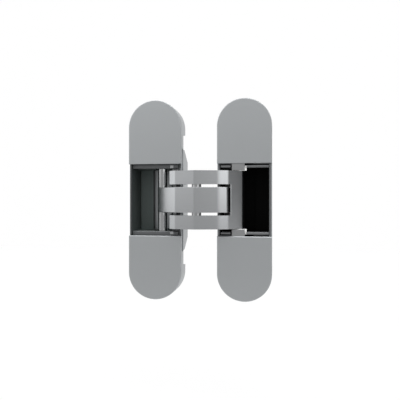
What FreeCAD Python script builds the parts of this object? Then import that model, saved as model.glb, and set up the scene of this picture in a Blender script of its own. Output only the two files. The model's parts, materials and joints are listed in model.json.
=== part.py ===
"""Concealed door hinge with two mortised bodies, a forked arm and a middle arm.

Lengths are millimetres. Z runs along the hinge height, X from the frame body
to the door body, Y into the bodies. The hinge is drawn fully open, both faces
in one plane. The origin is the centre of the frame body's two fixing holes, on
the back plane of its end blocks.
"""
import FreeCAD
import Part
import math
import os
from FreeCAD import Vector

# Outline of each body
body_width = 30.0
body_height = 111.4
open_gap = 20.0
closed_gap = 4.0
end_block_depth = 13.5
cover_thickness = 2.2
flange_back = 7.4
box_inset = 0.5

# Pocket and the box that holds it
cover_opening = 40.0
rim_depth = 0.75
outer_wall = 1.0
inner_wall = 1.3
back_wall = 1.1
box_full_height = 44.6
box_foot_height = 57.7
box_foot_depth = 14.0
notch_outer_height = 74.4
rim_gap = 0.1
groove_inset = 0.9
groove_front = 2.7
groove_back = 6.6

# Linkage: insets are measured from each body's edge at the gap, depths from the faces
pivot_inset = 6.0
pivot_depth = 15.0
centre_shift = -0.8
centre_depth = -3.6
frame_slide_inset = 11.85
door_slide_inset = 11.2
slide_depth = 6.2

# Pins, bosses and running clearances
centre_pin_radius = 2.6
pivot_pin_radius = 2.0
slide_pin_radius = 1.7
running_clearance = 0.05
pivot_boss_radius = 3.5
arm_slide_boss_radius = 2.75
fork_slide_boss_radius = 3.4
sleeve_radius = 2.6
roller_radius = 2.4
slot_clearance = 0.15
washer_radius = 3.3

# Heights of the arms, measured from the middle of the hinge
arm_half_height = 6.95
ear_low = 8.5
ear_high = 16.0
pad_low = 16.6
cheek_low = 17.6
cheek_high = 18.95
pin_end_gap = 0.2
layer_gap = 0.05

# Front profile of the arms
ridge_offset = -0.85
ridge_depth = -8.0
ridge_round = 0.5
left_bend_inset = 2.7
left_bend_depth = -4.5
left_bend_round = 2.0
right_bend_inset = 1.5
right_bend_depth = -4.76
right_bend_round = 14.0
right_turn_inset = 6.3
right_turn_depth = -2.6
right_turn_round = 5.0
arm_end_inset = 6.5
arm_end_round = 2.2
arm_back_depth = 0.15
arm_back_round = 2.0
ear_corner_round = 0.9
neck_wall_gap = 0.3
neck_round = 0.5
rim_overlap = 0.8
knee_to_pivot = 4.5
knee_round = 1.0
web_gap = 0.8
web_edge_round = 0.4

# Carriers that slide or sit in the housings
carrier_side_gap = 0.25
carrier_back_gap = 0.2
arm_tip_gap = 1.5
carrier_web = 1.4
slot_back_wall = 0.1
pivot_back_wall = 5.5
frame_carrier_front = 2.45
door_carrier_front = 0.9
cheek_chamfer = 0.4
frame_cheek_high = 19.9
step_low = 16.4
step_inset = 5.4
step_front = 1.2
step_back_gap = 0.1
height_travel = 1.5
travel_gap = 0.1
door_end_gap = 0.65
pad_radius = 4.4
pad_bite = 0.2
window_near_inset = 9.6
window_far_inset = 20.5

# Lugs, clamp screws and their recess
lug_half_width = 4.6
lug_thickness = 1.8
lug_end_wall = 1.7
lug_front_gap = 0.25
recess_side_gap = 0.3
recess_end_gap = 0.3
recess_back_gap = 0.05
clamp_offset = 6.25
clamp_radius = 2.0
clamp_hole_radius = 2.1
clamp_head_radius = 3.7
clamp_head_height = 2.1
clamp_seat_gap = 0.05
clamp_shank = 9.0
clamp_socket_flat = 2.5
clamp_socket_depth = 1.2

# Fixing holes and cover caps
fixing_inset = 12.7
fixing_radius = 2.6
countersink_radius = 4.4
cover_edge = 0.3
cover_shell = 1.1
cover_lip = 1.5
post_width = 3.2
post_height = 2.2
post_clearance = 0.06
post_length = 4.6
post_end_gap = 0.2
outer_post_inset = 5.1
inner_post_wall = 1.0

# Stops at the open end of the door slots, and the pivot's lock pins
keeper_inset = 8.15
keeper_width = 7.0
keeper_front = 0.5
keeper_thickness = 1.6
keeper_low = 16.3
stop_side_gap = 0.05
stop_left_gap = 0.75
buffer_width = 8.0
buffer_low = 16.1
buffer_back_gap = 0.1
lock_pin_shift = 0.25
lock_pin_width = 1.9
lock_pin_low = 17.75
lock_pin_height = 1.6
lock_pin_rise = 0.15

# Values worked out from the sizes above
face_y = -end_block_depth
half_width = body_width / 2
half_height = body_height / 2
hinge_centre_x = half_width + open_gap / 2
door_x = body_width + open_gap
door_edge = door_x - half_width
frame_pivot = (half_width - pivot_inset, pivot_depth)
door_pivot = (door_edge + pivot_inset, pivot_depth)
centre = (hinge_centre_x + centre_shift, centre_depth)
frame_slide = (half_width - frame_slide_inset, slide_depth)
door_slide = (door_edge + door_slide_inset, slide_depth)
ridge = (centre[0] + ridge_offset, ridge_depth)
left_bend = (half_width - left_bend_inset, left_bend_depth)
right_bend = (door_edge + right_bend_inset, right_bend_depth)
right_turn = (door_edge + right_turn_inset, right_turn_depth)
ear_left_x = half_width - arm_end_inset
arm_right_x = door_edge + arm_end_inset
web_left_x = arm_right_x + web_gap
knee_depth = pivot_depth - knee_to_pivot
box_half_width = half_width - box_inset
inner_face = box_half_width - inner_wall
outer_face = -box_half_width + outer_wall
carrier_left = outer_face + carrier_side_gap
carrier_right = inner_face - carrier_side_gap
pin_top = cheek_high - pin_end_gap
sleeve_low = arm_half_height + layer_gap
cover_end = cover_opening / 2
clamp_height = cheek_high + clamp_offset
clamp_seat = cover_thickness + clamp_head_height + lug_front_gap - clamp_seat_gap
lug_front = cover_thickness + clamp_head_height + lug_front_gap
lug_back = lug_front + lug_thickness
lug_end = clamp_height + clamp_hole_radius + height_travel + lug_end_wall
recess_floor = lug_back + recess_back_gap
recess_end = lug_end + height_travel + recess_end_gap
fixing_height = half_height - fixing_inset
inner_post_height = recess_end + inner_post_wall + post_height / 2
outer_post_height = half_height - outer_post_inset
keeper_left_x = door_edge + keeper_inset
keeper_right_x = keeper_left_x + keeper_width
buffer_right_x = keeper_left_x + buffer_width
stop_back = slide_depth - roller_radius - buffer_back_gap
lock_pin_x = frame_pivot[0] + lock_pin_shift


def at(x, depth, z=0.0):
    """Point at x, this far behind the faces, at height z."""
    return Vector(x, face_y + depth, z)


def turned(point, pivot, angle):
    """A plan point turned about a pivot by an angle in radians."""
    dx = point[0] - pivot[0]
    dy = point[1] - pivot[1]
    c = math.cos(angle)
    s = math.sin(angle)
    return (pivot[0] + c * dx - s * dy, pivot[1] + s * dx + c * dy)


def bearing(a, b):
    """Direction from a to b in radians."""
    return math.atan2(b[1] - a[1], b[0] - a[0])


def closing_angles():
    """How far fork, middle arm and door turn from open to closed.

    Closed, the door pivot faces the frame pivot across the gap. The centre
    joint then lies where circles about the two pivots cross, on the outer side.
    """
    closed_door_pivot = (frame_pivot[0], -closed_gap - pivot_depth)
    fork_length = math.dist(frame_pivot, centre)
    arm_length = math.dist(door_pivot, centre)
    span = math.dist(frame_pivot, closed_door_pivot)
    along = (fork_length ** 2 - arm_length ** 2 + span ** 2) / (2 * span)
    across = math.sqrt(fork_length ** 2 - along ** 2)
    closed_centre = (frame_pivot[0] - across, pivot_depth - along)
    fork_turn = bearing(frame_pivot, closed_centre) - bearing(frame_pivot, centre)
    arm_turn = bearing(closed_centre, closed_door_pivot) - bearing(centre, door_pivot)
    fork_turn = (fork_turn + math.pi) % (2 * math.pi) - math.pi
    arm_turn = (arm_turn + math.pi) % (2 * math.pi) - math.pi
    return fork_turn, arm_turn


fork_turn, arm_turn = closing_angles()


def frame_slide_track(share):
    """Where the middle arm's slide pin is in the frame body, share 0 open to 1 closed."""
    moved_centre = turned(centre, frame_pivot, share * fork_turn)
    pin = turned(frame_slide, centre, share * arm_turn)
    return (pin[0] + moved_centre[0] - centre[0], pin[1] + moved_centre[1] - centre[1])


def door_slide_track(share):
    """Where the fork's slide pin is in the door body, share 0 open to 1 closed."""
    back = share * (-math.pi - arm_turn)
    moved_centre = turned(centre, door_pivot, -back)
    fork_in_door = share * (fork_turn + math.pi)
    pin = turned(door_slide, centre, fork_in_door)
    return (pin[0] + moved_centre[0] - centre[0], pin[1] + moved_centre[1] - centre[1])


# Depths of the pocket, behind the closed slide pins and the pivots
frame_slide_end = frame_slide_track(1.0)[1]
door_slide_end = door_slide_track(1.0)[1]
slot_back = max(frame_slide_end, door_slide_end) + roller_radius + slot_clearance + slot_back_wall
carrier_back = max(slot_back, pivot_depth + pivot_back_wall + carrier_web)
deepest_tip = max(frame_slide_end + arm_slide_boss_radius, door_slide_end + fork_slide_boss_radius)
cavity_depth = max(carrier_back + carrier_back_gap, deepest_tip + arm_tip_gap)
box_depth = cavity_depth + back_wall


def box(x0, x1, d0, d1, z0, z1):
    """Block between two x, two depths and two heights."""
    return Part.makeBox(x1 - x0, d1 - d0, z1 - z0, at(x0, d0, z0))


def upright(point, radius, z0, z1):
    """Cylinder along Z."""
    return Part.makeCylinder(radius, z1 - z0, at(point[0], point[1], z0))


def inward(x, z, radius, d0, d1):
    """Cylinder along Y."""
    return Part.makeCylinder(radius, d1 - d0, at(x, d0, z), Vector(0, 1, 0))


def both_ends(shape):
    """The shape and its mirror image below the middle plane."""
    return [shape, shape.mirror(Vector(0, 0, 0), Vector(0, 0, 1))]


def fused(shapes):
    """One clean solid from shapes that touch."""
    result = shapes[0].fuse(shapes[1:]) if len(shapes) > 1 else shapes[0]
    return result.removeSplitter()


def mirrored_to_door(shape):
    """A frame-side shape in its door-side place."""
    return shape.mirror(Vector(hinge_centre_x, 0, 0), Vector(1, 0, 0))


def tangent_point(outside, centre_point, radius, side):
    """Where a line from an outside point touches a circle, on side +1 or -1."""
    distance = math.dist(outside, centre_point)
    heading = bearing(outside, centre_point)
    lean = math.asin(radius / distance)
    length = math.sqrt(distance ** 2 - radius ** 2)
    direction = heading + side * lean
    return (outside[0] + length * math.cos(direction), outside[1] + length * math.sin(direction))


def rounded_prism(corners, z0, z1):
    """Prism over a plan outline whose corners are (x, depth) or (x, depth, radius)."""
    count = len(corners)
    edges = []
    ends = []
    for i in range(count):
        before = Vector(*corners[i - 1][:2], 0)
        here = Vector(*corners[i][:2], 0)
        after = Vector(*corners[(i + 1) % count][:2], 0)
        radius = corners[i][2] if len(corners[i]) > 2 else 0.0
        if radius == 0.0:
            ends.append((here, None, here))
            continue
        into = (here - before).normalize()
        out = (after - here).normalize()
        turn = into.getAngle(out)
        reach = radius * math.tan(turn / 2)
        first = here - into * reach
        last = here + out * reach
        inside = (out - into).normalize()
        middle = here + inside * (radius / math.cos(turn / 2) - radius)
        ends.append((first, middle, last))
    for i in range(count):
        first, middle, last = ends[i]
        following = ends[(i + 1) % count][0]
        if middle is not None:
            edges.append(Part.Arc(first, middle, last).toShape())
        if last.distanceToPoint(following) > 1e-6:
            edges.append(Part.makeLine(last, following))
    face = Part.Face(Part.Wire(edges))
    solid = face.extrude(Vector(0, 0, z1 - z0))
    solid.translate(Vector(0, face_y, z0))
    return solid


def stadium(width, height, d0, d1):
    """Plate with full round ends, between two depths."""
    radius = width / 2
    straight = height / 2 - radius
    top = Part.Arc(at(radius, d0, straight), at(0, d0, height / 2), at(-radius, d0, straight))
    bottom = Part.Arc(at(-radius, d0, -straight), at(0, d0, -height / 2), at(radius, d0, -straight))
    left = Part.makeLine(at(-radius, d0, straight), at(-radius, d0, -straight))
    right = Part.makeLine(at(radius, d0, -straight), at(radius, d0, straight))
    face = Part.Face(Part.Wire([top.toShape(), left, bottom.toShape(), right]))
    return face.extrude(Vector(0, d1 - d0, 0))


def upper_part(shape, z0, z1):
    """The stretch of a shape between two heights above the middle."""
    far = body_width
    return shape.common(box(-far, far, -far, far, z0, z1))


def circle_through(a, b, c):
    """Centre of the circle through three plan points."""
    circle = Part.Circle(Vector(*a, 0), Vector(*b, 0), Vector(*c, 0))
    return (circle.Center.x, circle.Center.y)


def slot_prism(track, half_width_of_slot, z0, z1):
    """Curved slot along a track: two arcs about one centre, with round ends."""
    points = [track(0.0), track(0.5), track(1.0)]
    middle = circle_through(*points)
    sides = []
    for offset in (-half_width_of_slot, half_width_of_slot):
        side = []
        for point in points:
            radius = math.dist(middle, point) + offset
            heading = bearing(middle, point)
            x = middle[0] + radius * math.cos(heading)
            depth = middle[1] + radius * math.sin(heading)
            side.append(Vector(x, depth, 0))
        sides.append(side)
    inner, outer = sides
    edges = [
        Part.Arc(*inner).toShape(),
        Part.makeLine(inner[2], outer[2]),
        Part.Arc(*reversed(outer)).toShape(),
        Part.makeLine(outer[0], inner[0]),
    ]
    face = Part.Face(Part.Wire(edges))
    solid = face.extrude(Vector(0, 0, z1 - z0))
    solid.translate(Vector(0, face_y, z0))
    round_ends = [upright(p, half_width_of_slot, z0, z1) for p in (points[0], points[2])]
    return fused([solid] + round_ends)


def housing(cavity_half_height, trim_low):
    """Die-cast body in the frame's place: flange, end blocks and pocket box."""
    notch_half = notch_outer_height / 2
    notch = box(-half_width, half_width, flange_back, end_block_depth, -notch_half, notch_half)
    flange_and_blocks = stadium(body_width, body_height, cover_thickness, end_block_depth).cut(notch)
    profile = [
        at(0, rim_depth, cover_end - rim_gap),
        at(0, cover_thickness, cover_end - rim_gap),
        at(0, cover_thickness, box_foot_height / 2),
        at(0, box_foot_depth, box_foot_height / 2),
        at(0, box_depth, box_full_height / 2),
    ]
    loop = profile + [Vector(p.x, p.y, -p.z) for p in reversed(profile)]
    side = Part.Face(Part.makePolygon(loop + [loop[0]]))
    side.translate(Vector(-box_half_width, 0, 0))
    pocket_box = side.extrude(Vector(2 * box_half_width, 0, 0))
    body = fused([flange_and_blocks, pocket_box])
    cavity = box(outer_face, inner_face, 0, cavity_depth, -cavity_half_height, cavity_half_height)
    body = body.cut(cavity)
    for trim in both_ends(box(inner_face, box_half_width, 0, cover_thickness, trim_low, cover_end)):
        body = body.cut(trim)
    groove_floor = half_width - groove_inset
    for x0, x1 in ((-half_width, -groove_floor), (groove_floor, half_width)):
        body = body.cut(box(x0, x1, groove_front, groove_back, -box_foot_height / 2, box_foot_height / 2))
    recess_half = lug_half_width + recess_side_gap
    recess = box(-recess_half, recess_half, 0, recess_floor, cheek_low, recess_end)
    thread = inward(0, clamp_height, clamp_radius, recess_floor, clamp_seat + clamp_shank)
    fixing = inward(0, fixing_height, fixing_radius, 0, box_depth)
    sink_depth = countersink_radius - fixing_radius
    sink = Part.makeCone(
        countersink_radius, fixing_radius, sink_depth, at(0, cover_thickness, fixing_height), Vector(0, 1, 0))
    cuts = [recess, thread, fixing, sink]
    hole_back = cover_thickness + post_length + post_end_gap
    for height in (inner_post_height, outer_post_height):
        cuts.append(post(height, post_clearance, 0, hole_back))
    for cut in cuts:
        for piece in both_ends(cut):
            body = body.cut(piece)
    return body.removeSplitter()


def post(height, clearance, d0, d1):
    """Snap post of a cover, or with clearance the hole that takes it."""
    x = post_width / 2 + clearance
    z = post_height / 2 + clearance
    return box(-x, x, d0, d1, height - z, height + z)


def cover():
    """Upper snap-on cap of the frame body, hollow over its recess, with two posts."""
    plate = stadium(body_width, body_height, 0, cover_thickness)
    plate = upper_part(plate, cover_end, body_height)
    front_edges = []
    for edge in plate.Edges:
        if all(abs(v.Point.y - face_y) < layer_gap for v in edge.Vertexes):
            front_edges.append(edge)
    plate = plate.makeChamfer(cover_edge, front_edges)
    side = half_width - cover_lip
    round_start = half_height - half_width
    cap = plate.cut(box(-side, side, cover_shell, cover_thickness, cover_end + cover_lip, round_start))
    post_back = cover_thickness + post_length
    posts = [post(height, 0, cover_shell, post_back) for height in (inner_post_height, outer_post_height)]
    return fused([cap] + posts)


def lug(low_end, hole_travel):
    """Upper clamp lug of a carrier, with a hole or an upright slot for the screw."""
    plate = box(-lug_half_width, lug_half_width, lug_front, lug_back, low_end, lug_end)
    low = clamp_height - hole_travel
    high = clamp_height + hole_travel
    for z in {low, high}:
        plate = plate.cut(inward(0, z, clamp_hole_radius, 0, box_depth))
    if hole_travel > 0:
        plate = plate.cut(box(-clamp_hole_radius, clamp_hole_radius, 0, box_depth, low, high))
    return plate


def cheek_plate(front, top):
    """Upper cheek of a carrier, chamfered where its front meets the pocket."""
    loop = [
        at(carrier_left, front, cheek_low + cheek_chamfer),
        at(carrier_left, front, top),
        at(carrier_left, carrier_back, top),
        at(carrier_left, carrier_back, cheek_low),
        at(carrier_left, front + cheek_chamfer, cheek_low),
    ]
    side = Part.Face(Part.makePolygon(loop + [loop[0]]))
    return side.extrude(Vector(carrier_right - carrier_left, 0, 0))


def carrier(front, top, track, hole_travel):
    """Pocket insert in the frame's place: two slotted cheeks, pivot pads and back web."""
    pad_top = cheek_low + pad_bite
    pad = upright(frame_pivot, pad_radius, pad_low, pad_top)
    reach = box(carrier_left, carrier_right, front, carrier_back, pad_low, pad_top)
    cheek = fused([cheek_plate(front, top), pad.common(reach)])
    cheek = cheek.cut(slot_prism(track, roller_radius + slot_clearance, pad_low, half_height))
    cheek = cheek.cut(upright(frame_pivot, pivot_pin_radius, 0, half_height))
    end = fused([cheek, lug(top, hole_travel)])
    web_front = carrier_back - carrier_web
    webs = [
        box(carrier_left, half_width - window_far_inset, web_front, carrier_back, -top, top),
        box(half_width - window_near_inset, carrier_right, web_front, carrier_back, -top, top),
    ]
    return fused(both_ends(end) + webs)


def clamp_screw():
    """Upper socket-head clamp screw of the frame body."""
    head_front = clamp_seat - clamp_head_height
    head = inward(0, clamp_height, clamp_head_radius, head_front, clamp_seat)
    shank = inward(0, clamp_height, clamp_radius, clamp_seat, clamp_seat + clamp_shank)
    corner = clamp_socket_flat / math.sqrt(3)
    hexagon = []
    for i in range(7):
        angle = math.radians(60 * i)
        hexagon.append(at(corner * math.cos(angle), head_front, clamp_height + corner * math.sin(angle)))
    socket = Part.Face(Part.makePolygon(hexagon)).extrude(Vector(0, clamp_socket_depth, 0))
    return fused([head, shank]).cut(socket)


def slope_corner():
    """Where the arms' left slope reaches the ears' left side, and its end at the slide boss."""
    end = tangent_point(left_bend, frame_slide, arm_slide_boss_radius, 1)
    share = (left_bend[0] - ear_left_x) / (left_bend[0] - end[0])
    corner = (ear_left_x, left_bend[1] + share * (end[1] - left_bend[1]))
    return corner, end


def middle_arm():
    """Arm between the fork's ears: slide boss left, centre bore, pivot boss right."""
    low = -arm_half_height
    high = arm_half_height
    knee = (arm_right_x, knee_depth)
    boss_right = tangent_point(knee, door_pivot, pivot_boss_radius, -1)
    neck_left = door_x - inner_face + neck_wall_gap
    rim_left = (inner_face - rim_overlap, arm_back_depth)
    boss_back = tangent_point(rim_left, frame_slide, arm_slide_boss_radius, -1)
    boss_front = slope_corner()[1]
    plate = rounded_prism([
        (*ridge, ridge_round), (*right_bend, right_bend_round), (arm_right_x, right_turn_depth, arm_end_round),
        (*knee, knee_round), boss_right, door_pivot, (door_pivot[0] - pivot_boss_radius, pivot_depth),
        (neck_left, arm_back_depth, neck_round), (*rim_left, arm_back_round), boss_back, frame_slide,
        boss_front, (*left_bend, left_bend_round)], low, high)
    arm = fused([
        plate,
        upright(frame_slide, arm_slide_boss_radius, low, high),
        upright(door_pivot, pivot_boss_radius, low, high)])
    arm = arm.cut(upright(frame_slide, slide_pin_radius, low, high))
    arm = arm.cut(upright(centre, centre_pin_radius + running_clearance, low, high))
    return arm.cut(upright(door_pivot, pivot_pin_radius + running_clearance, low, high))


def fork_arm():
    """Forked arm: two ears round the middle arm, joined by a web over the slide pin."""
    corner = slope_corner()[0]
    knee = (ear_left_x, knee_depth)
    boss_left = tangent_point(knee, frame_pivot, pivot_boss_radius, 1)
    neck_right = inner_face - neck_wall_gap
    boss_front = tangent_point(right_turn, door_slide, fork_slide_boss_radius, -1)
    rim_right = (door_x - inner_face + rim_overlap, arm_back_depth)
    boss_back = tangent_point(rim_right, door_slide, fork_slide_boss_radius, 1)
    ear = fused([
        rounded_prism([
            (*ridge, ridge_round), (*right_bend, right_bend_round), (*right_turn, right_turn_round),
            boss_front, door_slide, boss_back, (*rim_right, arm_back_round),
            (neck_right, arm_back_depth, neck_round), (frame_pivot[0] + pivot_boss_radius, pivot_depth),
            frame_pivot, boss_left, (*knee, knee_round), (*corner, ear_corner_round),
            (*left_bend, left_bend_round)], ear_low, ear_high),
        upright(frame_pivot, pivot_boss_radius, ear_low, ear_high)])
    web_share = (web_left_x - right_turn[0]) / (boss_front[0] - right_turn[0])
    web_front = right_turn[1] + web_share * (boss_front[1] - right_turn[1])
    boss_left_x = door_slide[0] - fork_slide_boss_radius
    web = rounded_prism([
        (web_left_x, web_front, web_edge_round), boss_front, door_slide, (boss_left_x, slide_depth)],
        -ear_low, ear_low)
    boss = upright(door_slide, fork_slide_boss_radius, -ear_high, ear_high)
    fork = fused(both_ends(ear) + [web, boss])
    fork = fork.cut(upright(centre, centre_pin_radius, -ear_high, ear_high))
    fork = fork.cut(upright(door_slide, slide_pin_radius, -ear_high, ear_high))
    return fork.cut(upright(frame_pivot, pivot_pin_radius + running_clearance, -ear_high, ear_high))


def ring(point, outer, inner, z0, z1):
    """Tube along Z."""
    return upright(point, outer, z0, z1).cut(upright(point, inner, z0, z1))


def stop_notch():
    """Room for the upper keeper and buffer at the slot's open end."""
    left = keeper_left_x - stop_left_gap
    return box(left, buffer_right_x + stop_side_gap, 0, stop_back + buffer_back_gap, buffer_low, half_height)


def stop_keeper():
    """Upper metal keeper at the front of the door slot, flush with the cover's edge."""
    back = keeper_front + keeper_thickness
    return box(keeper_left_x, keeper_right_x, keeper_front, back, keeper_low, cover_end)


def stop_buffer():
    """Upper plastic buffer behind the keeper, showing at its right."""
    front = keeper_front + keeper_thickness
    return box(keeper_left_x, buffer_right_x, front, stop_back, buffer_low, cheek_high)


def lock_pin(rise, back):
    """Upper square pin that locks the pivot pin, let into the cheek's front edge."""
    left = lock_pin_x - lock_pin_width / 2
    front = frame_carrier_front - rise
    return box(left, left + lock_pin_width, front, back, lock_pin_low, lock_pin_low + lock_pin_height)


def frame_carrier():
    """Frame pocket insert, free to slide up and down, with a sloped step beside each pad."""
    insert = carrier(frame_carrier_front, frame_cheek_high, frame_slide_track, height_travel)
    left = half_width - step_inset
    back = pivot_depth - washer_radius - step_back_gap
    loop = [
        at(left, step_front, step_low),
        at(left, frame_carrier_front, cheek_low),
        at(left, back, cheek_low),
        at(left, back, step_low),
    ]
    step = Part.Face(Part.makePolygon(loop + [loop[0]])).extrude(Vector(carrier_right - left, 0, 0))
    insert = fused([insert] + both_ends(step))
    for slot in both_ends(lock_pin(lock_pin_rise, pivot_depth)):
        insert = insert.cut(slot)
    return insert


def door_carrier():
    """Door pocket insert, with a notch in each cheek's front for the stop."""
    def mirrored_track(share):
        x, depth = door_slide_track(share)
        return (door_x - x, depth)
    insert = mirrored_to_door(carrier(door_carrier_front, cheek_high, mirrored_track, 0.0))
    for notch in both_ends(stop_notch()):
        insert = insert.cut(notch)
    return insert


def door_housing():
    """Door body, with the stops' front corners let into its opening."""
    body = mirrored_to_door(housing(cheek_high + door_end_gap, keeper_low))
    left = keeper_left_x - stop_side_gap
    room = box(left, keeper_right_x + stop_side_gap, 0, stop_back, keeper_low, cover_end)
    for piece in both_ends(room):
        body = body.cut(piece)
    return body


def moved_to_door(shape):
    """A left-right symmetric frame piece, carried over to the door body."""
    copy = shape.copy()
    copy.translate(Vector(door_x, 0, 0))
    return copy


def lower(shape):
    """Mirror image below the middle plane."""
    return both_ends(shape)[1]


def pieces():
    """Every node's name and shape."""
    frame_cavity = frame_cheek_high + height_travel + travel_gap
    cap = cover()
    group = Part.makeCompound
    sleeve = ring(frame_slide, sleeve_radius, slide_pin_radius, sleeve_low, cheek_low - layer_gap)
    frame_roller = ring(frame_slide, roller_radius, slide_pin_radius, cheek_low + layer_gap, pin_top)
    door_roller = ring(door_slide, roller_radius, slide_pin_radius, ear_high + layer_gap, pin_top)
    spacer = ring(door_pivot, washer_radius, pivot_pin_radius, sleeve_low, pad_low - layer_gap)
    washer = ring(frame_pivot, washer_radius, pivot_pin_radius, ear_high + layer_gap, pad_low - layer_gap)
    return {
        "frame_housing": housing(frame_cavity, cheek_low),
        "frame_upper_cover": cap,
        "frame_lower_cover": lower(cap),
        "frame_carrier": frame_carrier(),
        "frame_clamp_screws": group(both_ends(clamp_screw())),
        "frame_pivot_pin": upright(frame_pivot, pivot_pin_radius, -pin_top, pin_top),
        "frame_pivot_washers": group(both_ends(washer)),
        "frame_lock_pins": group(both_ends(lock_pin(lock_pin_rise, pivot_depth - pivot_pin_radius))),
        "fork_arm": fork_arm(),
        "centre_pin": upright(centre, centre_pin_radius, -ear_high + pin_end_gap, ear_high - pin_end_gap),
        "door_slide_pin": upright(door_slide, slide_pin_radius, -pin_top, pin_top),
        "door_slide_rollers": group(both_ends(door_roller)),
        "middle_arm": middle_arm(),
        "frame_slide_pin": upright(frame_slide, slide_pin_radius, -pin_top, pin_top),
        "frame_slide_sleeves": group(both_ends(sleeve)),
        "frame_slide_rollers": group(both_ends(frame_roller)),
        "door_carrier": door_carrier(),
        "door_pivot_pin": upright(door_pivot, pivot_pin_radius, -pin_top, pin_top),
        "door_pivot_spacers": group(both_ends(spacer)),
        "door_stop_keepers": group(both_ends(stop_keeper())),
        "door_stop_buffers": group(both_ends(stop_buffer())),
        "door_clamp_screws": group(both_ends(moved_to_door(clamp_screw()))),
        "door_housing": door_housing(),
        "door_upper_cover": moved_to_door(cap),
        "door_lower_cover": moved_to_door(lower(cap)),
    }


def main():
    """Write one STEP file per node."""
    os.makedirs("parts", exist_ok=True)
    for name, shape in pieces().items():
        shape.exportStep(os.path.join("parts", name + ".step"))
        print(name, "solids", len(shape.Solids), "valid", shape.isValid(), "volume", round(shape.Volume, 1))
    fork_degrees = -math.degrees(fork_turn)
    arm_degrees = -math.degrees(arm_turn)
    print("fork turns", fork_degrees, "middle arm", arm_degrees, "closed gap", closed_gap)


main()
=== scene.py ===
"""Looks of a concealed door hinge: satin nickel bodies, caps and arms in a plain studio."""

import json
import logging
import math
from dataclasses import dataclass, field
from enum import Enum
from functools import reduce
from typing import Iterable, Union

import bmesh
import bpy
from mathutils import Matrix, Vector


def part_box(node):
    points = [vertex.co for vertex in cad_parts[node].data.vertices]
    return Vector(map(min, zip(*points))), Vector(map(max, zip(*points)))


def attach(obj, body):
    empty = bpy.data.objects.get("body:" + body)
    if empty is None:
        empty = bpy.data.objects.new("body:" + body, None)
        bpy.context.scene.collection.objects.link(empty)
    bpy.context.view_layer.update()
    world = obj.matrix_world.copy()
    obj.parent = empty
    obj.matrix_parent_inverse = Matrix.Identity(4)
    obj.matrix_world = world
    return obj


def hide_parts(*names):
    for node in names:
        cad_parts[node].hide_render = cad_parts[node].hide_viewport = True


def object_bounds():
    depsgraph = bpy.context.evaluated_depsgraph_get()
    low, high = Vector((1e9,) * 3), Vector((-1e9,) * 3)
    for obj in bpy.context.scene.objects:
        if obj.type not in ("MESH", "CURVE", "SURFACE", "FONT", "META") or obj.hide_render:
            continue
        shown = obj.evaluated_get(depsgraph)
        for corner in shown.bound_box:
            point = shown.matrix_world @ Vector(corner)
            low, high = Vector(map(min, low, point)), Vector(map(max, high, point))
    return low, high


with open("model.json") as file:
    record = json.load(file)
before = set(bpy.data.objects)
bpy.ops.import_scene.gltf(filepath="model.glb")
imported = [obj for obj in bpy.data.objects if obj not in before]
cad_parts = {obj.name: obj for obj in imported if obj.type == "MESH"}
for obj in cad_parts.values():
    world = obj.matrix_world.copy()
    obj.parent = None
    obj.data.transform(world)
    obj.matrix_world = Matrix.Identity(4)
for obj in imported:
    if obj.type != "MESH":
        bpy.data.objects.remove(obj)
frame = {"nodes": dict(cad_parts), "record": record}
CAD_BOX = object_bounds()

log = logging.getLogger("hinge")
MM = 0.001
HALF_TURN = 180.0
BELOW_ALL_HEIGHTS = -1 * MM

Colour = tuple[float, float, float]
Point = tuple[float, float, float]


class Slot(Enum):
    """Material slots of the record."""

    SATIN_NICKEL = "satin_nickel"
    ARM_NICKEL = "arm_nickel"
    STEEL = "steel"
    INSERT_METAL = "insert_metal"
    WHITE_PLASTIC = "white_plastic"


class Body(Enum):
    """Bodies that move as one."""

    FRAME_BODY = "frame_body"
    FRAME_INSERT = "frame_insert"
    FORK = "fork"
    MIDDLE_ARM = "middle_arm"
    DOOR_BODY = "door_body"


class Side(Enum):
    """The hinge's two halves, as their nodes are named."""

    FRAME = "frame"
    DOOR = "door"


class Signal:
    """A number or colour socket that takes part in shader maths."""

    def __init__(self, graph: "Graph", socket: bpy.types.NodeSocket) -> None:
        """Wrap a socket.

        Args:
            graph: The node graph that the socket belongs to.
            socket: An output socket.
        """
        self.graph = graph
        self.socket = socket

    def _math(self, operation: str, first: "Number", second: "Number") -> "Signal":
        """One Math node over two operands."""
        return self.graph.add("ShaderNodeMath", {"operation": operation}, {0: first, 1: second})

    def __add__(self, other: "Number") -> "Signal":
        """Sum."""
        return self._math("ADD", self, other)

    def __radd__(self, other: "Number") -> "Signal":
        """Sum, number first."""
        return self._math("ADD", other, self)

    def __sub__(self, other: "Number") -> "Signal":
        """Difference."""
        return self._math("SUBTRACT", self, other)

    def __rsub__(self, other: "Number") -> "Signal":
        """Difference, number first."""
        return self._math("SUBTRACT", other, self)

    def __mul__(self, other: "Number") -> "Signal":
        """Product."""
        return self._math("MULTIPLY", self, other)

    def __rmul__(self, other: "Number") -> "Signal":
        """Product, number first."""
        return self._math("MULTIPLY", other, self)

    def at_least(self, other: "Number") -> "Signal":
        """The larger of the two."""
        return self._math("MAXIMUM", self, other)

    def size(self) -> "Signal":
        """The value without its sign."""
        return self._math("ABSOLUTE", self, 0.0)

    def stepped(self, start: float, end: float) -> "Signal":
        """0 up to one value, 1 past another, and smooth between them.

        Args:
            start: Where the result leaves 0.
            end: Where the result reaches 1, which may be the smaller value.

        Returns:
            The smooth step.
        """
        settings = {"interpolation_type": "SMOOTHSTEP"}
        inputs = {"Value": self, "From Min": start, "From Max": end, "To Min": 0.0, "To Max": 1.0}
        return self.graph.add("ShaderNodeMapRange", settings, inputs)

    def clamped(self) -> "Signal":
        """The value kept between 0 and 1."""
        return self.graph.add("ShaderNodeClamp", {}, {"Value": self})


Number = Union[Signal, float]


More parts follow.
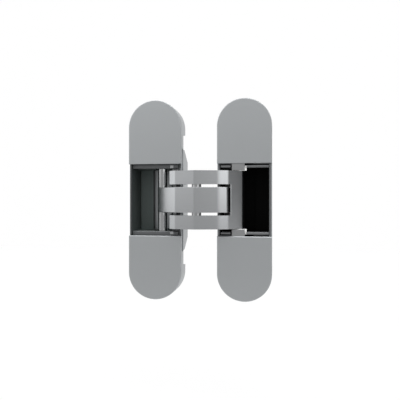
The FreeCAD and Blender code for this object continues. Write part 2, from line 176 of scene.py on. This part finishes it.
class Graph:
    """A node tree that is filled by expressions."""

    MIX_FIRST = 6
    MIX_SECOND = 7
    MIX_COLOUR = 2

    def __init__(self, tree: bpy.types.NodeTree) -> None:
        """Start on an empty tree.

        Args:
            tree: The node tree of a material or a world.
        """
        self.tree = tree
        tree.nodes.clear()

    def node(self, kind: str, settings: dict, inputs: dict) -> bpy.types.Node:
        """Add one node.

        Args:
            kind: The node's type name.
            settings: Properties that are set first, or the stops of a colour ramp.
            inputs: Socket name or number to a value or a signal.

        Returns:
            The node.
        """
        made = self.tree.nodes.new(kind)
        for name, value in settings.items():
            if name == "stops":
                self.set_stops(made.color_ramp.elements, value)
            else:
                setattr(made, name, value)
        for key, value in inputs.items():
            if isinstance(value, Signal):
                self.tree.links.new(value.socket, made.inputs[key])
            else:
                made.inputs[key].default_value = value
        return made

    def set_stops(self, elements: bpy.types.ColorRampElements, stops: list[tuple[float, Colour]]) -> None:
        """Give a colour ramp its stops.

        Args:
            elements: The ramp's stops, which are changed.
            stops: Position and colour of each, in order.
        """
        while len(elements) < len(stops):
            elements.new(0.5)
        for element, (position, colour) in zip(elements, stops):
            element.position = position
            element.color = (*colour, 1.0)

    def add(self, kind: str, settings: dict, inputs: dict, output: Union[int, str] = 0) -> Signal:
        """Add one node and take an output of it.

        Args:
            kind: The node's type name.
            settings: As for a node.
            inputs: As for a node.
            output: The output socket that is wanted.

        Returns:
            The node's output as a signal.
        """
        return Signal(self, self.node(kind, settings, inputs).outputs[output])

    def blend(self, factor: Number, first: Union[Signal, Colour], second: Union[Signal, Colour]) -> Signal:
        """Mix two colours.

        Args:
            factor: 0 gives the first, 1 the second.
            first: A colour.
            second: A colour.

        Returns:
            The mixed colour.
        """
        inputs = {0: factor}
        for key, colour in ((self.MIX_FIRST, first), (self.MIX_SECOND, second)):
            inputs[key] = colour if isinstance(colour, Signal) else (*colour, 1.0)
        return self.add("ShaderNodeMix", {"data_type": "RGBA"}, inputs, self.MIX_COLOUR)

    def axes_of(self, vector: Signal) -> tuple[Signal, Signal, Signal]:
        """The three parts of a vector."""
        parts = self.node("ShaderNodeSeparateXYZ", {}, {"Vector": vector})
        return tuple(Signal(self, parts.outputs[axis]) for axis in "XYZ")

    def object_place(self) -> Signal:
        """Where a point lies on its object."""
        return self.add("ShaderNodeTexCoord", {}, {}, "Object")

    def noise(self, scale: float, detail: float, stretch: Point = (1, 1, 1)) -> Signal:
        """Smooth noise from 0 to 1 in object space.

        Args:
            scale: Waves in a metre.
            detail: Octaves.
            stretch: Factor on each axis.

        Returns:
            The noise value.
        """
        place = self.add("ShaderNodeMapping", {}, {"Vector": self.object_place(), "Scale": stretch})
        return self.add("ShaderNodeTexNoise", {}, {"Vector": place, "Scale": scale, "Detail": detail})

    def bump(self, height: Signal, distance: float, strength: float) -> Signal:
        """A bumped normal from a height."""
        return self.add("ShaderNodeBump", {}, {"Height": height, "Distance": distance, "Strength": strength})

    def shows_background(self) -> Signal:
        """Tell the rays that see the background from those that light the hinge.

        Returns:
            1 for rays from the camera and for mirrored and clear rays, else 0.
        """
        rays = self.node("ShaderNodeLightPath", {}, {})
        names = ("Is Camera Ray", "Is Glossy Ray", "Is Transmission Ray")
        return reduce(Signal.at_least, [Signal(self, rays.outputs[name]) for name in names])

    def finish(self, surface: Signal, output: str = "ShaderNodeOutputMaterial") -> None:
        """Join a shader to the tree's output.

        Args:
            surface: The shader.
            output: The output node's type name.
        """
        self.node(output, {}, {"Surface": surface})


@dataclass(frozen=True)
class Patch:
    """A stretch of one body's opening with painted shade: a dark colour where shade falls.

    Heights are taken without their sign, so it lies above and below the middle alike.
    """

    middle_x: float
    half_width: float
    high_z: float
    front_y: float
    back_y: float
    colour: Colour
    low_z: float = BELOW_ALL_HEIGHTS
    soft: float = 0.15 * MM

    def inside(self, graph: Graph) -> Signal:
        """How far a point is inside the patch.

        Args:
            graph: The material's node graph.

        Returns:
            0 outside and 1 inside.
        """
        x, y, z = graph.axes_of(graph.object_place())
        height = z.size()
        across = (x - self.middle_x).size().stepped(self.half_width + self.soft, self.half_width)
        below = height.stepped(self.high_z + self.soft, self.high_z)
        above = height.stepped(self.low_z - self.soft, self.low_z)
        behind = y.stepped(self.front_y, self.front_y + self.soft)
        before = y.stepped(self.back_y + self.soft, self.back_y)
        return across * below * above * behind * before


@dataclass(frozen=True)
class MetalFinish:
    """A metal surface: colour, gloss, grain direction and cloudiness."""

    name: str
    colour: Colour
    cloud: float
    roughness: float
    roughness_spread: float
    grain_stretch: Point
    grain_scale: float
    grain_depth: float
    grain_strength: float = 0.5
    cloud_scale: float = 90.0
    detail: float = 3.0
    shade_patch_roughness: float = 0.6

    def material(self, patches: Iterable[Patch] = ()) -> bpy.types.Material:
        """Build the material.

        Args:
            patches: Painted shade in the body's openings, the later ones on top.

        Returns:
            A node material.
        """
        made = bpy.data.materials.new(self.name)
        made.use_nodes = True
        graph = Graph(made.node_tree)
        cloud = graph.noise(self.cloud_scale, self.detail)
        grain = graph.noise(self.grain_scale, self.detail, self.grain_stretch)
        dull = tuple(channel * (1 - self.cloud) for channel in self.colour)
        colour = graph.blend(cloud, dull, self.colour)
        roughness = self.roughness + (grain - 0.5) * self.roughness_spread
        shade_masks = []
        for patch in patches:
            # Painted shade: each patch blends its dark colour in where shade falls, and makes the surface
            # rougher there.
            inside = patch.inside(graph)
            colour = graph.blend(inside, colour, patch.colour)
            shade_masks.append(inside)
        if shade_masks:
            roughness = roughness + reduce(Signal.at_least, shade_masks) * (self.shade_patch_roughness - self.roughness)
        normal = graph.bump(grain, self.grain_depth, self.grain_strength)
        graph.finish(graph.add("ShaderNodeBsdfPrincipled", {}, {
            "Base Color": colour, "Metallic": 1.0, "Roughness": roughness, "Normal": normal}))
        return made


@dataclass(frozen=True)
class PlasticFinish:
    """A moulded plastic surface."""

    name: str
    colour: Colour
    roughness: float
    roughness_spread: float = 0.1
    dull_share: float = 0.94
    cloud_scale: float = 400.0
    fine_scale: float = 4000.0
    fine_depth: float = 0.02 * MM
    fine_strength: float = 0.4
    detail: float = 2.0

    def material(self) -> bpy.types.Material:
        """Build the material.

        Returns:
            A node material.
        """
        made = bpy.data.materials.new(self.name)
        made.use_nodes = True
        graph = Graph(made.node_tree)
        cloud = graph.noise(self.cloud_scale, self.detail)
        dull = tuple(channel * self.dull_share for channel in self.colour)
        fine = graph.noise(self.fine_scale, self.detail)
        graph.finish(graph.add("ShaderNodeBsdfPrincipled", {}, {
            "Base Color": graph.blend(cloud, dull, self.colour),
            "Roughness": self.roughness + (fine - 0.5) * self.roughness_spread,
            "Normal": graph.bump(fine, self.fine_depth, self.fine_strength)}))
        return made


@dataclass(frozen=True)
class OpeningShade:
    """Painted shade round an opening: a dark colour that stands in for shade.

    Its edge is painted dark from the depth of rim and the height of low_z on, and the pocket's painted shade
    starts at the depth of lip.
    """

    colour: Colour
    rim: float
    lip: float
    low_z: float = BELOW_ALL_HEIGHTS


@dataclass
class Finishes:
    """One material for each slot, and where painted shade darkens the openings."""

    satin: MetalFinish = MetalFinish(
        name="satin_nickel_plate", colour=(0.42, 0.435, 0.445), cloud=0.03, roughness=0.45,
        roughness_spread=0.06, grain_stretch=(1, 1, 8), grain_scale=900.0, grain_depth=0.004 * MM)
    arms: MetalFinish = MetalFinish(
        name="arm_nickel_plate", colour=(0.42, 0.43, 0.44), cloud=0.03, roughness=0.24,
        roughness_spread=0.06, grain_stretch=(1, 1, 8), grain_scale=900.0, grain_depth=0.004 * MM)
    steel: MetalFinish = MetalFinish(
        name="turned_steel", colour=(0.40, 0.405, 0.41), cloud=0.04, roughness=0.25,
        roughness_spread=0.08, grain_stretch=(1, 1, 20), grain_scale=1500.0, grain_depth=0.003 * MM)
    insert: MetalFinish = MetalFinish(
        name="cast_insert", colour=(0.32, 0.325, 0.33), cloud=0.08, roughness=0.45,
        roughness_spread=0.10, grain_stretch=(1, 1, 1), grain_scale=1200.0, grain_depth=0.01 * MM)
    plastic: PlasticFinish = PlasticFinish(name="white_acetal", colour=(0.86, 0.86, 0.85), roughness=0.4)
    # Painted shade: dark colours on the walls just behind each opening's front, where shade falls.
    frame_rim_shade: OpeningShade = OpeningShade(colour=(0.09, 0.094, 0.096), rim=0.4 * MM, lip=1.3 * MM)
    door_rim_shade: OpeningShade = OpeningShade(colour=(0.15, 0.155, 0.16), rim=0.4 * MM, lip=1.3 * MM)
    insert_rim_shade: OpeningShade = OpeningShade(
        colour=(0.15, 0.155, 0.16), rim=0.8 * MM, lip=2.8 * MM, low_z=17.75 * MM)
    # Painted shade in the pockets behind the openings; on the frame it covers only the left share of the
    # pocket.
    frame_pocket_shade: Colour = (0.17, 0.195, 0.19)
    door_pocket_shade: Colour = (0.008, 0.008, 0.008)
    frame_pocket_shade_reach: float = 0.27
    cap_thickness: float = 2.2 * MM
    cap_overlap: float = 0.2 * MM
    past_cap_end: float = 1.6 * MM
    past_insert: float = 0.5 * MM
    from_side: float = 0.65 * MM
    from_back: float = 0.6 * MM

    def patches(self, side: Side, edge: OpeningShade, reach: float = 1.0) -> list[Patch]:
        """The painted shade of one half's opening: a dark rim and a dark pocket.

        Args:
            side: Which half.
            edge: The painted shade round the body's opening.
            reach: Share of the pocket's width, from the left, that gets the pocket's painted shade.

        Returns:
            The patches, outermost first.
        """
        insert_low, insert_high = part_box(side.value + "_carrier")
        cap_low, cap_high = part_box(side.value + "_upper_cover")
        end = cap_low.z + self.past_cap_end
        rim_back = cap_low.y + max(edge.lip, self.cap_thickness) + self.cap_overlap
        # Painted shade on the opening's walls just behind the front; on the inserts only under the cover
        # edge.
        rim = Patch(
            middle_x=(cap_low.x + cap_high.x) / 2, half_width=(cap_high.x - cap_low.x) / 2 - self.from_side,
            high_z=end, front_y=cap_low.y + edge.rim, back_y=rim_back, colour=edge.colour, low_z=edge.low_z)
        dark_left = insert_low.x - self.past_insert
        dark_half = (insert_high.x + self.past_insert - dark_left) / 2 * reach
        dark_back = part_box(side.value + "_housing")[1].y - self.from_back
        # Painted shade: the pocket behind the opening is coloured dark where shade falls.
        dark = Patch(
            middle_x=dark_left + dark_half, half_width=dark_half,
            high_z=end, front_y=cap_low.y + edge.lip, back_y=dark_back,
            colour=self.frame_pocket_shade if side is Side.FRAME else self.door_pocket_shade)
        return [rim, dark]

    def by_slot(self) -> dict[Slot, bpy.types.Material]:
        """Build every material.

        Returns:
            The material of each slot.
        """
        # The housings and the inserts carry painted shade in their openings.
        housing = self.patches(Side.FRAME, self.frame_rim_shade, self.frame_pocket_shade_reach)
        housing += self.patches(Side.DOOR, self.door_rim_shade)
        insert = self.patches(Side.FRAME, self.insert_rim_shade)
        insert += self.patches(Side.DOOR, self.insert_rim_shade)
        return {
            Slot.SATIN_NICKEL: self.satin.material(housing),
            Slot.ARM_NICKEL: self.arms.material(),
            Slot.STEEL: self.steel.material(),
            Slot.INSERT_METAL: self.insert.material(insert),
            Slot.WHITE_PLASTIC: self.plastic.material(),
        }


@dataclass
class Dressing:
    """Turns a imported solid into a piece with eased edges."""

    node: str
    body: Body
    slot: Slot
    edge: float
    segments: int = 2
    merge_distance: float = 0.002 * MM
    flat_angle: float = math.radians(0.4)
    sharp_angle: float = math.radians(24)
    crease_angle: float = math.radians(50)

    def mesh(self) -> bpy.types.Mesh:
        """Copy the solid, join its triangles and ease its edges.

        Returns:
            The finished mesh.
        """
        work = bmesh.new()
        work.from_mesh(frame["nodes"][self.node].data)
        bmesh.ops.remove_doubles(work, verts=work.verts, dist=self.merge_distance)
        bmesh.ops.dissolve_limit(
            work, angle_limit=self.flat_angle, verts=work.verts, edges=work.edges,
            use_dissolve_boundaries=False)
        hard = [e for e in work.edges if e.is_manifold and e.calc_face_angle(0.0) > self.sharp_angle]
        bmesh.ops.bevel(
            work, geom=hard, offset=self.edge, offset_type="OFFSET", segments=self.segments,
            profile=0.5, affect="EDGES", clamp_overlap=True, material=-1)
        for face in work.faces:
            face.smooth = True
        made = bpy.data.meshes.new(self.node + "_dressed")
        work.to_mesh(made)
        work.free()
        made.set_sharp_from_angle(angle=self.crease_angle)
        return made

    def build(self, materials: dict[Slot, bpy.types.Material]) -> bpy.types.Object:
        """Make the piece and let it stand for its solid.

        Args:
            materials: The material of each slot.

        Returns:
            The piece.
        """
        piece = bpy.data.objects.new(self.node + "_skin", self.mesh())
        bpy.context.scene.collection.objects.link(piece)
        piece.data.materials.clear()
        piece.data.materials.append(materials[self.slot])
        weighted = piece.modifiers.new("weighted", "WEIGHTED_NORMAL")
        weighted.keep_sharp = True
        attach(piece, self.body.value)
        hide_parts(self.node)
        log.info("%s: %d faces", piece.name, len(piece.data.polygons))
        return piece


@dataclass
class Hinge:
    """Every piece of the hinge, with its edge and finish."""

    cover_edge: float = 0.10 * MM
    casting_edge: float = 0.18 * MM
    arm_edge: float = 0.15 * MM
    fine_edge: float = 0.08 * MM
    pieces: list[bpy.types.Object] = field(default_factory=list)

    def build(self, materials: dict[Slot, bpy.types.Material]) -> None:
        """Dress every node of the record.

        Args:
            materials: The material of each slot.
        """
        record = frame["record"]
        slots = {part["node"]: Slot(part["material_slot"]) for part in record["subparts"]}
        for body_name, nodes in record["behaviour"]["bodies"].items():
            for node in nodes:
                dressing = Dressing(node, Body(body_name), slots[node], self.edge_of(node))
                self.pieces.append(dressing.build(materials))
        log.info("%d pieces", len(self.pieces))

    def edge_of(self, node: str) -> float:
        """How far a node's edges are eased.

        Args:
            node: The node's name.

        Returns:
            The width of the easing.
        """
        if "cover" in node:
            return self.cover_edge
        if "housing" in node:
            return self.casting_edge
        if "arm" in node:
            return self.arm_edge
        return self.fine_edge


@dataclass
class Camera:
    """The photograph's viewpoint: 400 pixels square, seen from the front and right."""

    frame_width_px: float = 400.0
    focal_px: float = 520.0
    middle_row_px: float = 199.85
    foot_x: float = 67.45 * MM
    distance: float = 284.11 * MM
    turn: float = math.radians(8.381)
    sensor_mm: float = 36.0
    nearest: float = 10 * MM

    def build(self, face_y: float) -> None:
        """Create the camera.

        Args:
            face_y: Where the hinge's front faces lie.
        """
        data = bpy.data.cameras.new("camera")
        data.sensor_width = self.sensor_mm
        data.lens = self.focal_px / self.frame_width_px * self.sensor_mm
        data.shift_y = (self.middle_row_px - self.frame_width_px / 2) / self.frame_width_px
        data.clip_start = self.nearest
        camera = bpy.data.objects.new("camera", data)
        camera.location = (self.foot_x, face_y - self.distance, 0)
        camera.rotation_euler = (math.pi / 2, 0, self.turn)
        bpy.context.scene.collection.objects.link(camera)
        bpy.context.scene.camera = camera


@dataclass(frozen=True)
class Lamp:
    """A square soft lamp."""

    name: str
    place: Point
    power: float
    size: float = 500 * MM

    def build(self, target: Vector) -> None:
        """Create the lamp.

        Args:
            target: Where it points.
        """
        data = bpy.data.lights.new(self.name, "AREA")
        data.shape = "SQUARE"
        data.size = self.size
        data.energy = self.power
        lamp = bpy.data.objects.new(self.name, data)
        lamp.location = self.place
        lamp.rotation_euler = (target - lamp.location).to_track_quat("-Z", "Y").to_euler()
        bpy.context.scene.collection.objects.link(lamp)


@dataclass(frozen=True)
class SheetPaint:
    """Lit paint that shows as white background, and as grey in front of the hinge."""

    lit_colour: Colour = (0.8, 0.8, 0.8)
    white_share: float = 0.95
    front_tone: float = 0.55
    front_start: float = 0.0 * MM
    front_end: float = -350 * MM

    def material(self, name: str) -> bpy.types.Material:
        """Build the material.

        Args:
            name: The material's name.

        Returns:
            A node material.
        """
        made = bpy.data.materials.new(name)
        made.use_nodes = True
        graph = Graph(made.node_tree)
        paint = graph.add("ShaderNodeBsdfDiffuse", {}, {"Color": (*self.lit_colour, 1.0)})
        position = graph.add("ShaderNodeNewGeometry", {}, {}, "Position")
        back = graph.axes_of(position)[1].stepped(self.front_end, self.front_start)
        tone = back * (1.0 - self.front_tone) + self.front_tone
        white = graph.add("ShaderNodeEmission", {}, {"Color": (1, 1, 1, 1), "Strength": tone})
        share = graph.shows_background() * self.white_share
        graph.finish(graph.add("ShaderNodeMixShader", {}, {0: share, 1: paint, 2: white}))
        return made


@dataclass
class Studio:
    """Pale floor, white backdrop, a soft grey room and two soft lamps.

    The room's tones are pairs of an angle in degrees, 0 at the camera's side and
    positive to the right, and the brightness there.
    """

    floor_drop: float = 60 * MM
    backdrop_y: float = 900 * MM
    sheet_size: float = 4.0
    paint: SheetPaint = SheetPaint()
    target: Point = (25 * MM, -10 * MM, 0.0)
    lamps: tuple[Lamp, ...] = (
        Lamp("overhead", (150 * MM, -350 * MM, 850 * MM), 3.0),
        Lamp("key", (-500 * MM, -750 * MM, 700 * MM), 1.5))
    brightest: float = 2.0
    sky_share: float = 0.9
    darkest: float = 0.15
    room_tones: tuple[tuple[float, float], ...] = (
        (-180, 0.9), (-110, 1.3), (-84, 1.5), (-60, 1.2), (-46, 0.90), (-38, 0.74),
        (-13, 0.58), (-3, 0.53), (8, 0.44), (17, 0.50),
        (25, 0.90), (33, 1.45), (42, 1.8), (52, 1.8), (61, 1.3), (69, 0.60),
        (78, 0.12), (110, 0.03), (180, 0.9))

    def build(self, lowest: float) -> None:
        """Create floor, backdrop, world and lamps.

        Args:
            lowest: Height of the hinge's lower end.
        """
        floor_z = lowest - self.floor_drop
        middle_y = self.backdrop_y - self.sheet_size
        self.sheet("floor", (0, middle_y, floor_z), (0, 0, 0))
        self.sheet("backdrop", (0, self.backdrop_y, floor_z + self.sheet_size), (math.pi / 2, 0, 0))
        self.world()
        for lamp in self.lamps:
            lamp.build(Vector(self.target))

    def sheet(self, name: str, place: Point, turn: Point) -> None:
        """A painted sheet of the studio.

        Args:
            name: The sheet's name.
            place: Its middle.
            turn: Its rotation in radians.
        """
        work = bmesh.new()
        bmesh.ops.create_grid(work, x_segments=1, y_segments=1, size=self.sheet_size)
        mesh = bpy.data.meshes.new(name)
        work.to_mesh(mesh)
        work.free()
        sheet = bpy.data.objects.new(name, mesh)
        sheet.location = place
        sheet.rotation_euler = turn
        bpy.context.scene.collection.objects.link(sheet)
        sheet.data.materials.append(self.paint.material(name + "_paint"))

    def world(self) -> None:
        """A soft grey room: a pale left side, a window on the right, dark beyond it, dimmer below."""
        world = bpy.data.worlds.new("studio")
        bpy.context.scene.world = world
        world.use_nodes = True
        graph = Graph(world.node_tree)
        x, y, up = graph.axes_of(graph.add("ShaderNodeTexCoord", {}, {}, "Generated"))
        turn = graph.add("ShaderNodeMath", {"operation": "ARCTAN2"}, {0: x, 1: y * -1.0})
        stops = []
        for degrees, tone in self.room_tones:
            stops.append(((degrees / HALF_TURN + 1) / 2, (tone / self.brightest,) * 3))
        around = (turn * (0.5 / math.pi) + 0.5).clamped()
        side = graph.add("ShaderNodeValToRGB", {"stops": stops}, {"Fac": around}, "Color")
        tone = graph.add("ShaderNodeRGBToBW", {}, {"Color": side})
        room = tone * self.brightest * (up * self.sky_share + 1.0).at_least(self.darkest)
        background = graph.add("ShaderNodeBackground", {}, {"Color": (1, 1, 1, 1), "Strength": room})
        graph.finish(background, "ShaderNodeOutputWorld")


def main() -> None:
    """Build the hinge's looks and the studio."""
    logging.basicConfig(level=logging.INFO, format="%(message)s")
    bpy.context.scene.view_settings.view_transform = "Standard"
    materials = Finishes().by_slot()
    Hinge().build(materials)
    face_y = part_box("frame_upper_cover")[0].y
    Camera().build(face_y)
    Studio().build(CAD_BOX[0].z)


if __name__ == "__main__":
    main()
